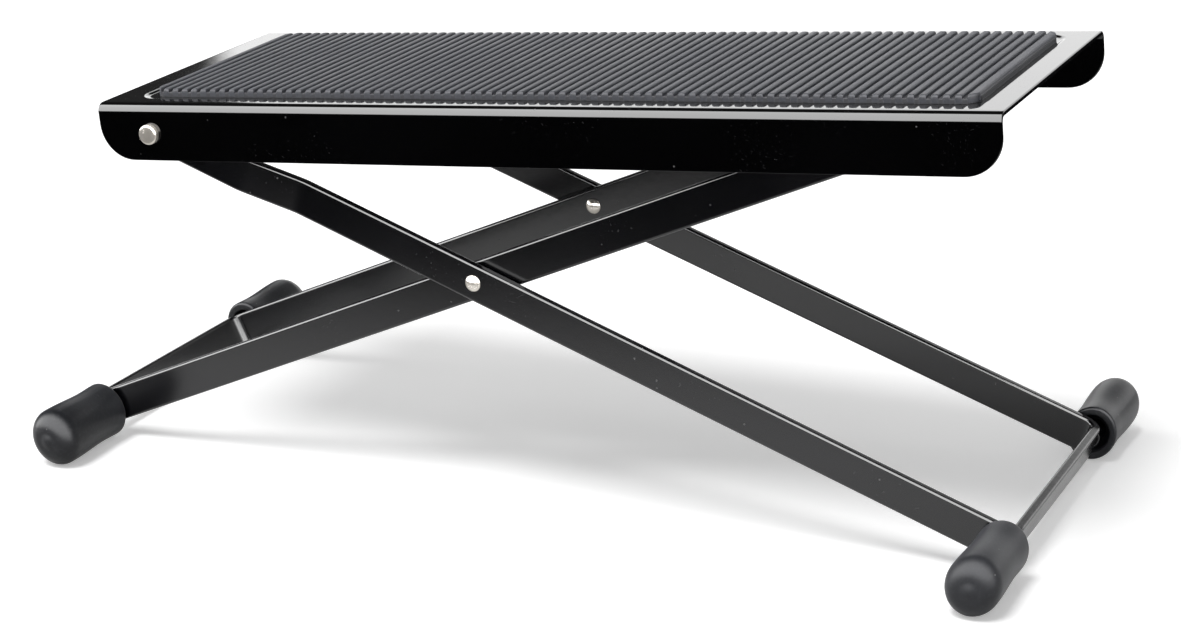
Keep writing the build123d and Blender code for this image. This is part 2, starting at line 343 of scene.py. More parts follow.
# A material with object coordinates and the three shared effects ready to use
def startMaterial(name, look):
    material = bpy.data.materials.new(name)
    material.use_nodes = True
    bench = NodeBench(material.node_tree)
    shader = next(n for n in material.node_tree.nodes if n.type == "BSDF_PRINCIPLED")
    place = bench.add("ShaderNodeTexCoord").outputs["Object"]
    effects = {}
    for key, group in (("specks", specksGroup), ("scratches", scratchesGroup), ("uneven", unevennessGroup)):
        node = bench.add("ShaderNodeGroup", node_tree=group)
        bench.join(place, node.inputs["Vector"])
        effects[key] = node
    socketPut(effects["specks"], "Scale", look["speckScale"])
    socketPut(effects["specks"], "Sparsity", look["speckSparsity"])
    socketPut(effects["scratches"], "Scale", look["scratchScale"])
    socketPut(effects["uneven"], "Broad Scale", look["broadScale"])
    socketPut(effects["uneven"], "Fine Scale", look["fineScale"])
    socketPut(shader, "Metallic", look.get("metallic", 0.0))
    socketPut(shader, "IOR", look.get("ior", 1.5))
    socketPut(shader, "Specular IOR Level", look.get("specular", 0.5))
    return material, bench, shader, place, effects


# Bump from a height, with the strength and the depth in millimetres
def bumpInto(bench, shader, height, depth):
    bump = bench.add("ShaderNodeBump")
    bench.join(height, bump.inputs["Height"])
    socketPut(bump, "Strength", 1.0)
    socketPut(bump, "Distance", depth * mm)
    bench.join(bump.outputs["Normal"], shader.inputs["Normal"])


# Paint: dark colour drifting slightly, dust specks that are paler and rough, faint hair scratches,
# and the gentle orange peel of sprayed enamel
def enamelMaterial(name, look):
    material, bench, shader, place, effects = startMaterial(name, look)
    broad, fine = effects["uneven"].outputs["Broad"], effects["uneven"].outputs["Fine"]
    dust = effects["specks"].outputs["Mask"]
    hair = effects["scratches"].outputs["Mask"]
    drift = bench.blend(bench.ramp(broad, 0.35, 0.65), look["colour"], look["colourHigh"])
    dusty = bench.blend(bench.maths("MULTIPLY", dust, look["dustShow"]), drift, look["dustColour"])
    scratched = bench.blend(bench.maths("MULTIPLY", hair, look["scratchShow"]), dusty, look["scratchColour"])
    bench.join(scratched, shader.inputs["Base Color"])
    rough = bench.ramp(broad, 0.3, 0.7, look["roughness"], look["roughnessHigh"])
    rough = bench.maths("ADD", rough, bench.maths("MULTIPLY", dust, 0.35))
    rough = bench.maths("ADD", rough, bench.maths("MULTIPLY", hair, 0.12), clamp=True)
    bench.join(rough, shader.inputs["Roughness"])
    peel = bench.noise(place, look["peelScale"], 2.0)
    height = bench.maths("ADD", peel, bench.maths("MULTIPLY", fine, look["fineShare"]))
    bumpInto(bench, shader, height, look["peelDepth"])
    return material


# Rubber: blotchy dark colour, fine moulded grain, pale scuffs where a mask says, dust in patches; on the mat, by
# rib height, rib tops lighter from scuffing and painted light, and painted shade in the valleys and down the rib
# walls
def rubberMaterial(name, look, heightAttribute=None):
    material, bench, shader, place, effects = startMaterial(name, look)
    broad, fine = effects["uneven"].outputs["Broad"], effects["uneven"].outputs["Fine"]
    dust = effects["specks"].outputs["Mask"]
    hair = effects["scratches"].outputs["Mask"]
    colour = bench.blend(bench.ramp(broad, 0.3, 0.7), look["colour"], look["colourHigh"])
    colour = bench.blend(bench.ramp(fine, 0.45, 0.75, 0.0, look["grainShow"]), colour, look["grainColour"])
    if heightAttribute:
        reader = bench.add("ShaderNodeAttribute", attribute_name=heightAttribute)
        # rib tops lighter: partly scuff wear, partly painted light where light falls on them
        topScuffAndLight = bench.ramp(reader.outputs["Fac"], 0.55, 1.0, 0.0, look["topScuffAndLightShow"])
        colour = bench.blend(topScuffAndLight, colour, look["topScuffAndLightColour"])
        # painted shade: the valleys and the lower rib walls darkened where shade falls
        valleyShade = bench.ramp(reader.outputs["Fac"], 0.35, 0.0, 0.0, look["valleyShadeShow"])
        colour = bench.blend(valleyShade, colour, look["valleyShadeColour"])
    colour = bench.blend(bench.maths("MULTIPLY", dust, look["dustShow"]), colour, look["dustColour"])
    colour = bench.blend(bench.maths("MULTIPLY", hair, look["scratchShow"]), colour, look["scratchColour"])
    bench.join(colour, shader.inputs["Base Color"])
    rough = bench.ramp(broad, 0.3, 0.7, look["roughness"], look["roughnessHigh"])
    dusted = bench.maths("ADD", rough, bench.maths("MULTIPLY", dust, 0.2), clamp=True)
    bench.join(dusted, shader.inputs["Roughness"])
    grain = bench.noise(place, look["grainScale"], 3.0, 0.6)
    height = bench.maths("SUBTRACT", grain, bench.maths("MULTIPLY", hair, 0.8))
    bumpInto(bench, shader, height, look["grainDepth"])
    return material


# Bare or plated metal: streaks along a stretched noise, tarnish in patches, scratches
def metalMaterial(name, look):
    material, bench, shader, place, effects = startMaterial(name, look)
    broad = effects["uneven"].outputs["Broad"]
    dust = effects["specks"].outputs["Mask"]
    hair = effects["scratches"].outputs["Mask"]
    stretch = bench.add("ShaderNodeMapping")
    bench.join(place, stretch.inputs["Vector"])
    socketPut(stretch, "Scale", look["streakStretch"])
    streak = bench.noise(stretch.outputs["Vector"], look["streakScale"], 4.0, 0.7)
    colour = bench.blend(bench.ramp(broad, 0.35, 0.7), look["colour"], look["tarnish"])
    colour = bench.blend(bench.ramp(streak, 0.4, 0.8, 0.0, look["streakShow"]), colour, look["streakColour"])
    colour = bench.blend(bench.maths("MULTIPLY", dust, 0.5), colour, look["tarnish"])
    bench.join(colour, shader.inputs["Base Color"])
    rough = bench.ramp(streak, 0.3, 0.7, look["roughness"], look["roughnessHigh"])
    scored = bench.maths("ADD", rough, bench.maths("MULTIPLY", hair, 0.15), clamp=True)
    bench.join(scored, shader.inputs["Roughness"])
    bumpInto(bench, shader, bench.maths("SUBTRACT", streak, hair), look["streakDepth"])
    return material


plainEffects = {
    "speckScale": 420.0,
    "speckSparsity": 0.93,
    "scratchScale": 60.0,
    "broadScale": 16.0,
    "fineScale": 900.0,
}
enamelPlain = {
    **plainEffects,
    "dustColour": (0.16, 0.16, 0.16, 1.0),
    "dustShow": 0.5,
    "scratchColour": (0.05, 0.05, 0.052, 1.0),
    "scratchShow": 0.35,
    "peelScale": 260.0,
    "peelDepth": 0.006,
    "fineShare": 0.1,
}
platformLook = {
    **enamelPlain,
    "colour": (0.0006, 0.0006, 0.0007, 1.0),
    "colourHigh": (0.0010, 0.0010, 0.0012, 1.0),
    "roughness": 0.05,
    "roughnessHigh": 0.09,
    "speckSparsity": 0.965,
}
legLook = {
    **enamelPlain,
    "colour": (0.0014, 0.0014, 0.0020, 1.0),
    "colourHigh": (0.0022, 0.0022, 0.0030, 1.0),
    "roughness": 0.16,
    "roughnessHigh": 0.21,
    "specular": 0.62,
    "peelDepth": 0.012,
    "peelScale": 420.0,
    "fineShare": 0.3,
}
rackLook = {**legLook, "roughness": 0.32, "roughnessHigh": 0.42}
matLook = {
    **plainEffects,
    "speckScale": 520.0,
    "colour": (0.0145, 0.0156, 0.0200, 1.0),
    "colourHigh": (0.0200, 0.0212, 0.0265, 1.0),
    "grainColour": (0.036, 0.037, 0.043, 1.0),
    "grainShow": 0.35,
    "grainScale": 1500.0,
    "grainDepth": 0.02,
    # rib-top colour: scuff wear and painted light
    "topScuffAndLightColour": (0.046, 0.047, 0.052, 1.0),
    "topScuffAndLightShow": 0.55,
    # painted shade colour for the valleys and lower rib walls
    "valleyShadeColour": (0.005, 0.005, 0.006, 1.0),
    "valleyShadeShow": 0.8,
    "dustColour": (0.16, 0.16, 0.16, 1.0),
    "dustShow": 0.5,
    "scratchColour": (0.07, 0.07, 0.075, 1.0),
    "scratchShow": 0.3,
    "roughness": 0.48,
    "roughnessHigh": 0.6,
    "specular": 0.3,
}
capLook = {
    **plainEffects,
    "colour": (0.0055, 0.0058, 0.0070, 1.0),
    "colourHigh": (0.0115, 0.0120, 0.0140, 1.0),
    "grainColour": (0.030, 0.031, 0.035, 1.0),
    "grainShow": 0.3,
    "grainScale": 1300.0,
    "grainDepth": 0.012,
    "dustColour": (0.2, 0.2, 0.2, 1.0),
    "dustShow": 0.55,
    "scratchColour": (0.06, 0.06, 0.062, 1.0),
    "scratchShow": 0.4,
    "roughness": 0.36,
    "roughnessHigh": 0.46,
    "specular": 0.22,
}
nickelLook = {
    **plainEffects,
    "metallic": 0.62,
    "colour": (0.66, 0.62, 0.56, 1.0),
    "tarnish": (0.46, 0.42, 0.36, 1.0),
    "streakColour": (0.78, 0.75, 0.70, 1.0),
    "streakShow": 0.5,
    "streakScale": 500.0,
    "streakStretch": (1.0, 0.3, 1.0),
    "streakDepth": 0.004,
    "roughness": 0.16,
    "roughnessHigh": 0.28,
}
steelLook = {
    **nickelLook,
    "colour": (0.50, 0.50, 0.51, 1.0),
    "tarnish": (0.30, 0.29, 0.28, 1.0),
    "streakColour": (0.62, 0.62, 0.63, 1.0),
    "streakScale": 220.0,
    "streakStretch": (6.0, 0.4, 6.0),
    "roughness": 0.24,
    "roughnessHigh": 0.4,
}

platformMaterial = enamelMaterial("platformEnamel", platformLook)
legMaterial = enamelMaterial("legEnamel", legLook)
rackMaterial = enamelMaterial("rackEnamel", rackLook)
matMaterial = rubberMaterial("matRubber", matLook, heightAttribute="ribHeight")
capMaterial = rubberMaterial("capRubber", capLook)
nickelMaterial = metalMaterial("rivetNickel", nickelLook)
steelMaterial = metalMaterial("plainSteel", steelLook)
print("materials made")


# A finished piece: material, body it rides on and the node it stands for, which is hidden; the record slot name is
# not used
def finishPiece(piece, material, body, slotName, *nodes):
    piece.data.materials.append(material)
    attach(piece, body)
    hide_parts(*nodes)


# Platform sheet: a channel with rounded bends, round flange corners and a soft-edged tray

platform = {
    "leftEnd": -18.8,
    "length": 300.0,
    "topLevel": 9.7,
    "halfWidth": 55.0,
    "sheet": 1.5,
    "flangeHeight": 18.4,
    "bendRadius": 3.0,
    "flangeCornerRadius": 11.5,
    "edgeRound": 0.35,
    "trayLeftBorder": 10.5,
    "trayRightBorder": 9.0,
    "traySideBorder": 8.5,
    "trayDepth": 0.5,
    "trayCornerRadius": 7.0,
    "trayEdgeWidth": 1.8,
}


# Signed distance to a rectangle with round corners, negative inside
def roundedRectangleDistance(x, y, left, right, halfDepth, radius):
    middle, half = (left + right) / 2, (right - left) / 2
    overX = np.abs(x - middle) - (half - radius)
    overY = np.abs(y) - (halfDepth - radius)
    outside = np.hypot(np.maximum(overX, 0), np.maximum(overY, 0))
    return outside + np.minimum(np.maximum(overX, overY), 0) - radius


# Places along a line: coarse steps, with fine ones about each named place
def graded(low, high, coarse, places, fine, reach):
    marks = [np.linspace(low, high, int(round((high - low) / coarse)) + 1)]
    for place in places:
        marks.append(np.arange(place - reach, place + reach + fine / 2, fine))
    marks = np.unique(np.round(np.concatenate(marks), 3))
    marks = marks[(marks >= low) & (marks <= high)]
    keep = np.concatenate([[True], np.diff(marks) > fine * 0.6])
    return marks[keep]


# The sheet: an outer and an inner layer, each the section's line carried along x, joined by a rim
def buildPlatform(size):
    half, top, sheet = size["halfWidth"], size["topLevel"], size["sheet"]
    bottom = top - size["flangeHeight"]
    bend, edge = size["bendRadius"], size["edgeRound"]
    low, high = size["leftEnd"], size["leftEnd"] + size["length"]
    trayLeft, trayRight = low + size["trayLeftBorder"], high - size["trayRightBorder"]
    trayHalf = half - size["traySideBorder"]
    # half of the outer line of the section from the middle of the top to the flange's bottom,
    # as (y, z), with the outward normal of each point
    across = graded(0.0, half - bend, 4.0, [trayHalf, trayHalf - size["trayCornerRadius"] / 2], 0.3, 3.6)
    flat = np.stack([across, np.full_like(across, top)], 1)
    turn = np.linspace(0, np.pi / 2, 15)[1:-1]
    arc = np.stack([half - bend + bend * np.sin(turn), top - bend + bend * np.cos(turn)], 1)
    cornerTop = bottom + size["flangeCornerRadius"]
    swing = np.linspace(0, np.pi / 2, 15)[1:]
    straight = [top - bend, top - bend - 0.2, cornerTop + 1.0, cornerTop]
    depths = np.concatenate([straight, cornerTop - size["flangeCornerRadius"] * np.sin(swing)])
    wall = np.stack([np.full_like(depths, half), depths], 1)
    line = np.concatenate([flat, arc, wall])
    normal = np.concatenate([
        np.tile([0.0, 1.0], (len(flat), 1)),
        np.stack([np.sin(turn), np.cos(turn)], 1),
        np.tile([1.0, 0.0], (len(wall), 1)),
    ])
    line = np.concatenate([(line * [-1, 1])[:0:-1], line])
    normal = np.concatenate([(normal * [-1, 1])[:0:-1], normal])
    # ends pulled in along the round flange corners: radius less the root of its square less drop squared
    drop = np.clip(cornerTop - line[:, 1], 0, size["flangeCornerRadius"])
    inset = size["flangeCornerRadius"] - np.sqrt(size["flangeCornerRadius"] ** 2 - drop ** 2)
    inset[drop >= size["flangeCornerRadius"] - 1e-9] = size["flangeCornerRadius"]
    # columns along x, fine at the tray's ends, with the sheet's rim rounded over the last of them
    rimTurn = np.linspace(0, np.pi / 2, 5)
    rimAlong, rimInset = edge * (1 - np.cos(rimTurn)), edge * (1 - np.sin(rimTurn))
    fineAt = [trayLeft, trayRight, trayLeft + 4.0, trayRight - 4.0]
    body = graded(low + edge * 2, high - edge * 2, 4.5, fineAt, 0.3, 3.6)
    along = np.concatenate([low + rimAlong, body, (high - rimAlong)[::-1]])
    shrink = np.concatenate([rimInset, np.zeros(len(body)), rimInset[::-1]])
    share = (along - low) / size["length"]
    x = along[:, None] + inset[None, :] * (1 - 2 * share[:, None])
    # pressed tray: depth times a smooth step of the distance inside its outline
    corner = size["trayCornerRadius"]
    distance = roundedRectangleDistance(x, line[None, :, 0], trayLeft, trayRight, trayHalf, corner)
    step = np.clip(0.5 - distance / size["trayEdgeWidth"], 0, 1)
    press = size["trayDepth"] * step * step * (3 - 2 * step)
    flatShare = normal[:, 1] ** 8

    # the section's line moved inwards along its normals by the depth and the rim's inset
    def layer(depth, rim):
        y = line[None, :, 0] - normal[None, :, 0] * (depth + rim[:, None])
        z = line[None, :, 1] - normal[None, :, 1] * (depth + rim[:, None]) - press * flatShare[None, :]
        return np.stack([x, np.broadcast_to(y, x.shape), np.broadcast_to(z, x.shape)], -1)

    outer, inner = layer(0.0, shrink), layer(sheet, -shrink)
    # the two layers and the rim of quads that joins their edges
    rows, columns = x.shape
    vertices = np.concatenate([outer.reshape(-1, 3), inner.reshape(-1, 3)])
    faces = gridFaces(rows, columns)
    count = rows * columns
    faces += [face[::-1] for face in gridFaces(rows, columns, first=count)]
    ring = np.concatenate([
        np.arange(columns),
        np.arange(1, rows) * columns + columns - 1,
        (rows - 1) * columns + np.arange(columns - 2, -1, -1),
        np.arange(rows - 2, 0, -1) * columns,
    ])
    following = np.roll(ring, -1)
    faces += np.stack([ring, ring + count, following + count, following], 1).tolist()
    piece = meshPiece("platformSheet", placed(vertices, platformPivot, platformAxes), faces, merge=1e-8)
    finishPiece(piece, platformMaterial, "platform", "platform_enamel", "platform_channel")
    return piece


buildPlatform(platform)
print("platform made")


# Mat: a ribbed rubber slab; its outline in x and z is carried across, with round corners in plan

mat = {
    "left": -4.8,
    "right": 270.7,
    "halfDepth": 43.0,
    "floorLevel": 9.2,
    "base": 1.6,
    "ribPitch": 3.537,
    "ribWidth": 2.3,
    "ribHeight": 1.1,
    "ribDraft": 0.1,
    "ribRound": 0.5,
    "ribEndRound": 0.9,
    "cornerRadius": 5.0,
    "edgeRound": 0.3,
}


# One rib's outline, x from its left foot and height over the slab: a drafted side, a quarter turn,
# the top, and the same mirrored
def ribProfile(size, width):
    height, draft, radius = size["ribHeight"], size["ribDraft"], size["ribRound"]
    foot = [(-0.1, 0.0), (0.0, 0.02), (0.03, 0.12), (draft, height - radius - 0.02)]
    turn = quarter((draft + radius, height - radius), radius, (-1, 0), (0, 1), 5)
    half = np.concatenate([foot, turn, [(width / 2, height)]])
    return np.concatenate([half, (half * [-1, 1] + [width, 0])[-2::-1]])


# A section ring at each place along x: over the top with rounded edges, down the far side, back
# along the bottom; half the depth is shortened along the plan's corner arcs by r - root(r2 - d2)
def buildMat(size):
    left, right, level = size["left"], size["right"], size["floorLevel"]
    baseTop = level + size["base"]
    ribCount = int((right - left - size["ribWidth"]) / size["ribPitch"]) + 1
    rib = ribProfile(size, size["ribWidth"])
    starts = left + 0.1 + size["ribPitch"] * np.arange(ribCount - 1)
    lastStart = left + 0.1 + size["ribPitch"] * (ribCount - 1)
    lastRib = ribProfile(size, right - 0.1 - lastStart) + [lastStart, 0]
    x = np.concatenate([(starts[:, None] + rib[None, :, 0]).ravel(), lastRib[:, 0]])
    z = baseTop + np.concatenate([np.tile(rib[:, 1], ribCount - 1), lastRib[:, 1]])
    inside = (x > left + 0.001) & (x < right - 0.001)
    x = np.concatenate([[left], x[inside], [right]])
    z = np.concatenate([[baseTop], z[inside], [baseTop]])
    share = np.clip((z - baseTop) / size["ribHeight"], 0, 1)
    over = np.maximum(np.maximum(left + size["cornerRadius"] - x, x - right + size["cornerRadius"]), 0)
    corner = size["cornerRadius"]
    depth = size["halfDepth"] - (corner - np.sqrt(np.maximum(corner ** 2 - over ** 2, 0)))
    edge = size["edgeRound"] + (size["ribEndRound"] - size["edgeRound"]) * share
    t = np.linspace(0, np.pi / 2, 6)
    ringY = [-depth + edge * (1 - np.cos(angle)) for angle in t] + [-depth + edge + 0.15]
    ringZ = [z - edge * (1 - np.sin(angle)) for angle in t] + [z]
    ringY += [-depth * 0.5, depth * 0.0] + [-y for y in (ringY + [-depth * 0.5])[::-1]]
    ringZ += [z, z] + (ringZ + [z])[::-1]
    flat = np.full_like(x, level)
    ringY += [depth, depth, depth * 0.0, -depth, -depth]
    ringZ += [flat + 0.1, flat, flat, flat, flat + 0.1]
    ringY, ringZ = np.array(ringY).T, np.array(ringZ).T
    surface = np.stack([np.broadcast_to(x[:, None], ringY.shape), ringY, ringZ], -1)
    rows, columns = surface.shape[:2]
    faces = gridFaces(rows, columns, wrapColumns=True)
    faces.append(list(range(columns)))
    faces.append(list(range((rows - 1) * columns, rows * columns))[::-1])
    piece = meshPiece("ribbedMat", placed(surface, platformPivot, platformAxes), faces)
    work = bmesh.new()
    work.from_mesh(piece.data)
    bmesh.ops.recalc_face_normals(work, faces=work.faces)
    work.to_mesh(piece.data)
    work.free()
    smooth = np.ones(len(faces), bool)
    smooth[-2:] = False
    piece.data.polygons.foreach_set("use_smooth", smooth)
    # rib height share at each point of the top; the mat rubber turns it into lighter rib tops (scuffs and painted
    # light) and painted shade in the valleys
    heights = piece.data.attributes.new("ribHeight", "FLOAT", "POINT")
    heights.data.foreach_set("value", np.repeat(share, columns) * np.tile(ringZ[0] > level + 0.5, rows))
    finishPiece(piece, matMaterial, "platform", "mat_rubber", "ribbed_mat")
    return piece


buildMat(mat)
print("mat made")


# Leg frames: one strip bent to a U, with round ends about the hinge holes

strip = {
    "width": 11.5,
    "thickness": 3.0,
    "edgeRound": 0.8,
    "cornerBend": 4.5,
    "crossbarOffset": 1.4,
    "jogStart": 33.0,
    "jogLength": 20.0,
    "jogRadius": 20.0,
    "outerTopPlane": 51.0,
    "outerPlane": 47.0,
    "innerPlane": 43.0,
    "endSteps": 10,
}


# The strip's surface: path place plus section offset along the path's left, and width along z;
# the ends swing round a half circle whose radius is half the width
def bentStrip(name, halfPoints, radii, origin, axes, size):
    points = halfPoints + [(x, -y) for x, y in reversed(halfPoints)]
    places, headings = filletedPath(points, radii + radii[::-1], 10)
    section = roundedSection(size["thickness"], size["width"], size["edgeRound"])
    halfWide = size["width"] / 2
    # how far each section point lies inside the strip's outline, from its place across the thickness
    straightHalf = halfWide - size["edgeRound"]
    height = np.abs(section[:, 1])
    reach = np.where(height >= straightHalf - 1e-6, height, straightHalf)
    left = np.stack([-headings[:, 1], headings[:, 0]], 1)
    flat = places[:, None, :] + section[None, :, :1] * left[:, None, :]
    body = np.concatenate([flat, np.broadcast_to(section[None, :, 1:], flat.shape[:2] + (1,))], -1)
    swing = np.linspace(0, np.pi / 2, size["endSteps"] + 1)[1:, None]

    # rings swung round an end: reach times sine along the heading, height times cosine
    def endRings(ring, heading):
        along = np.sin(swing) * reach
        x = ring[None, :, 0] + along * heading[0]
        y = ring[None, :, 1] + along * heading[1]
        return np.stack([x, y, ring[None, :, 2] * np.cos(swing)], -1)

    start = endRings(body[0], -headings[0])[::-1]
    finish = endRings(body[-1], headings[-1])
    surface = np.concatenate([start, body, finish])
    faces = gridFaces(*surface.shape[:2], wrapColumns=True)
    return meshPiece(name, placed(surface, origin, axes), faces, merge=1e-7)


outerTop = -lengthBetween(legPivot, platformPivot)
outerFoot = lengthBetween(rightFoot, legPivot) + strip["crossbarOffset"]
innerTop = lengthBetween(rodPlace, legPivot)
innerFoot = -lengthBetween(leftFoot, legPivot) - strip["crossbarOffset"]
outerPoints = [
    (outerTop, strip["outerTopPlane"]),
    (outerTop + strip["jogStart"], strip["outerTopPlane"]),
    (outerTop + strip["jogStart"] + strip["jogLength"], strip["outerPlane"]),
    (outerFoot, strip["outerPlane"]),
]
innerPoints = [(innerTop, strip["innerPlane"]), (innerFoot, strip["innerPlane"])]
outerRadii = [strip["jogRadius"], strip["jogRadius"], strip["cornerBend"]]
outerFrame = bentStrip("outerLegFrame", outerPoints, outerRadii, legPivot, outerAxes, strip)
finishPiece(outerFrame, legMaterial, "outer_frame", "leg_enamel", "outer_leg_frame")
innerFrame = bentStrip("innerLegFrame", innerPoints, [strip["cornerBend"]], legPivot, innerAxes, strip)
finishPiece(innerFrame, legMaterial, "inner_frame", "leg_enamel", "inner_leg_frame")
print("leg frames made")


# Rubber foot caps: an oval cap with a soft lip at its mouth, a slight waist and a round closed end;
# radii are half the height, and the thickness along the leg is their oval share

cap = {
    "mouthRadius": 9.2,
    "waistRadius": 9.0,
    "endRadius": 9.598,
    "ovalShare": 0.865,
    "length": 34.5,
    "waistAt": 9.0,
    "fullAt": 26.0,
    "lipRound": 0.9,
    "rimRound": 6.0,
    "crown": 0.6,
    "boreRadius": 6.45,
    "boreDepth": 5.0,
    "pegBoreRadius": 3.55,
    "pegBoreDepth": 27.1,
    "standOff": 1.0,
    "seamHeightShare": 0.006,
    "seamWidth": 0.035,
}


# The outline from the bore's end round the lip to the crown; the crown is a shallow arc,
# crown height times the square of one less the square of the radius share
def capProfile(size):
    length, rim = size["length"], size["rimRound"]
    inside = [
        (0.0, size["pegBoreDepth"]),
        (size["pegBoreRadius"], size["pegBoreDepth"]),
        (size["pegBoreRadius"], size["boreDepth"]),
        (size["boreRadius"], size["boreDepth"]),
    ]
    lip = size["lipRound"]
    innerLip = quarter((size["boreRadius"] + 0.5, 0.5), 0.5, (-1, 0), (0, -1), 4)
    outerLip = quarter((size["mouthRadius"] - lip, lip), lip, (0, -1), (1, 0), 6)
    y = np.linspace(lip + 0.6, length - size["crown"] - rim, 26)
    toWaist = np.clip((y - lip) / (size["waistAt"] - lip), 0, 1)
    toFull = np.clip((y - size["waistAt"]) / (size["fullAt"] - size["waistAt"]), 0, 1)
    smoothWaist = toWaist * toWaist * (3 - 2 * toWaist)
    smoothFull = toFull * toFull * (3 - 2 * toFull)
    toWaistStep = (size["waistRadius"] - size["mouthRadius"]) * smoothWaist
    toEndStep = (size["endRadius"] - size["waistRadius"]) * smoothFull
    r = size["mouthRadius"] + toWaistStep + toEndStep
    side = np.stack([r, y], 1)
    edge = length - size["crown"]
    rimArc = quarter((size["endRadius"] - rim, edge - rim), rim, (1, 0), (0, 1), 10)[1:]
    flat = size["endRadius"] - rim
    shares = np.linspace(1, 0, 8)[1:]
    crownArc = np.stack([flat * shares, edge + size["crown"] * (1 - shares ** 2) ** 2], 1)
    return np.concatenate([np.array(inside, float), innerLip, outerLip, side, rimArc, crownArc])


# Two fine mould seams run along the cap: narrow bumps in radius at opposite angles
def capSeams(y, angle):
    away = np.abs(np.sin(angle - 0.9))
    return cap["seamHeightShare"] * np.exp(-((away / cap["seamWidth"]) ** 2)) * np.clip(y / 2.0, 0, 1)


feet = [
    ("right", "outer_frame", rightFoot, outerAxes, strip["outerPlane"]),
    ("left", "inner_frame", leftFoot, innerAxes, strip["innerPlane"]),
]
for end, body, footPlace, axes, plane in feet:
    for side, way in (("front", -1), ("back", 1)):
        mouth = plane + strip["thickness"] / 2 + cap["standOff"]
        profile = capProfile(cap) + [0, mouth]
        oval = np.where(np.arange(len(profile)) < 3, 1.0, cap["ovalShare"])
        piece = turnedPiece(f"footCap_{end}_{side}", profile, footPlace, axes, 96, capSeams, oval, way)
        finishPiece(piece, capMaterial, body, "cap_rubber", f"foot_cap_{end}_{side}")
print("foot caps made")


# Pegs inside the caps: plain pins with a bevelled lead

peg = {"radius": 3.5, "lead": 0.8, "length": 28.0, "sink": 2.2}
for end, body, footPlace, axes, plane in feet:
    face = plane + strip["thickness"] / 2
    for side, way in (("front", -1), ("back", 1)):
        profile = roundedProfile(
            [(0, face - peg["sink"]), (peg["radius"], face - peg["sink"]),
             (peg["radius"], face + peg["length"] - peg["lead"]),
             (peg["radius"] - peg["lead"], face + peg["length"]), (0, face + peg["length"])],
            [0.3, 0.2, 0.2], 3)
        piece = turnedPiece(f"footPeg_{end}_{side}", profile, footPlace, axes, 48, side=way)
        finishPiece(piece, legMaterial, body, "peg_enamel", f"foot_peg_{end}_{side}")
print("pegs made")


# Rivets and washers

pivotRivet = {
    "shank": 2.2,
    "head": 3.3,
    "headHeight": 2.1,
    "headRound": 0.75,
    "headCrown": 0.18,
    "tail": 3.1,
    "tailHeight": 1.3,
    "flangeFace": 55.0,
    "legBack": 49.4,
}
midRivet = {"shank": 1.8, "head": 2.7, "headHeight": 1.2, "outside": 48.5, "inside": 41.4}
washers = {
    "pivot": {"hole": 2.25, "radius": 4.5, "start": 52.6, "thickness": 0.8},
    "mid": {"hole": 1.85, "radius": 4.5, "start": 44.6, "thickness": 0.8},
}


# A shallow dome of given foot radius and height: a circle's arc through foot and top
def domeProfile(radius, height, base, way, steps=12):
    ball = (radius ** 2 + height ** 2) / (2 * height)
    reach = np.arcsin(radius / ball)
    t = np.linspace(reach, 0, steps)
    return np.stack([ball * np.sin(t), base + way * (height - ball + ball * np.cos(t))], 1)


# A headed rivet: round tail behind the leg, shank, then a head with a round rim and shallow crown
def pivotRivetProfile(size):
    top = size["flangeFace"] + size["headHeight"]
    crownFoot = top - size["headCrown"]
    tail = roundedProfile(
        [(0, size["legBack"] - size["tailHeight"]), (size["tail"], size["legBack"] - size["tailHeight"]),
         (size["tail"], size["legBack"]), (size["shank"], size["legBack"]),
         (size["shank"], size["flangeFace"]),
         (size["head"], size["flangeFace"]), (size["head"], crownFoot - size["headRound"])],
        [0.6, 0.15, 0.1, 0.1, 0.1], 5)
    rimCentre = (size["head"] - size["headRound"], crownFoot - size["headRound"])
    rim = quarter(rimCentre, size["headRound"], (1, 0), (0, 1), 8)
    crown = domeProfile(size["head"] - size["headRound"], size["headCrown"], crownFoot, 1, 8)[1:]
    return np.concatenate([tail, rim, crown])


# A rivet with a dome at each end of its shank
def midRivetProfile(size):
    inner = domeProfile(size["head"], size["headHeight"], size["inside"], -1)[::-1]
    shank = np.array([[size["shank"], size["inside"]], [size["shank"], size["outside"]]])
    outer = domeProfile(size["head"], size["headHeight"], size["outside"], 1)
    return np.concatenate([inner, shank, outer])


# A flat ring's section: hole to radius wide, its thickness high, set about its middle radius
def washerProfile(size):
    start, end = size["start"], size["start"] + size["thickness"]
    ring = roundedSection(size["radius"] - size["hole"], end - start, 0.15, 3, 0.02)
    return ring + [(size["radius"] + size["hole"]) / 2, (start + end) / 2]


for side, way in (("front", -1), ("back", 1)):
    outline = pivotRivetProfile(pivotRivet)
    piece = turnedPiece(f"pivotRivet_{side}", outline, platformPivot, platformAxes, 64, side=way)
    finishPiece(piece, nickelMaterial, "platform", "rivet_nickel", f"pivot_rivet_{side}")
    piece = turnedPiece(f"midRivet_{side}", midRivetProfile(midRivet), legPivot, outerAxes, 64, side=way)
    finishPiece(piece, nickelMaterial, "outer_frame", "rivet_nickel", f"mid_rivet_{side}")
    for kind, body, origin, axes in (
        ("pivot", "platform", platformPivot, platformAxes),
        ("mid", "outer_frame", legPivot, outerAxes),
    ):
        ring = turnedSurface(washerProfile(washers[kind]), 56) * [1, way, 1]
        faces = gridFaces(*ring.shape[:2], wrapRows=True, wrapColumns=True)
        piece = meshPiece(f"{kind}Washer_{side}", placed(ring, origin, axes), faces, merge=1e-8)
        finishPiece(piece, steelMaterial, body, "washer_steel", f"{kind}_washer_{side}")
print("rivets and washers made")


# Support rod: a round bar with a spigot riveted over in each leg

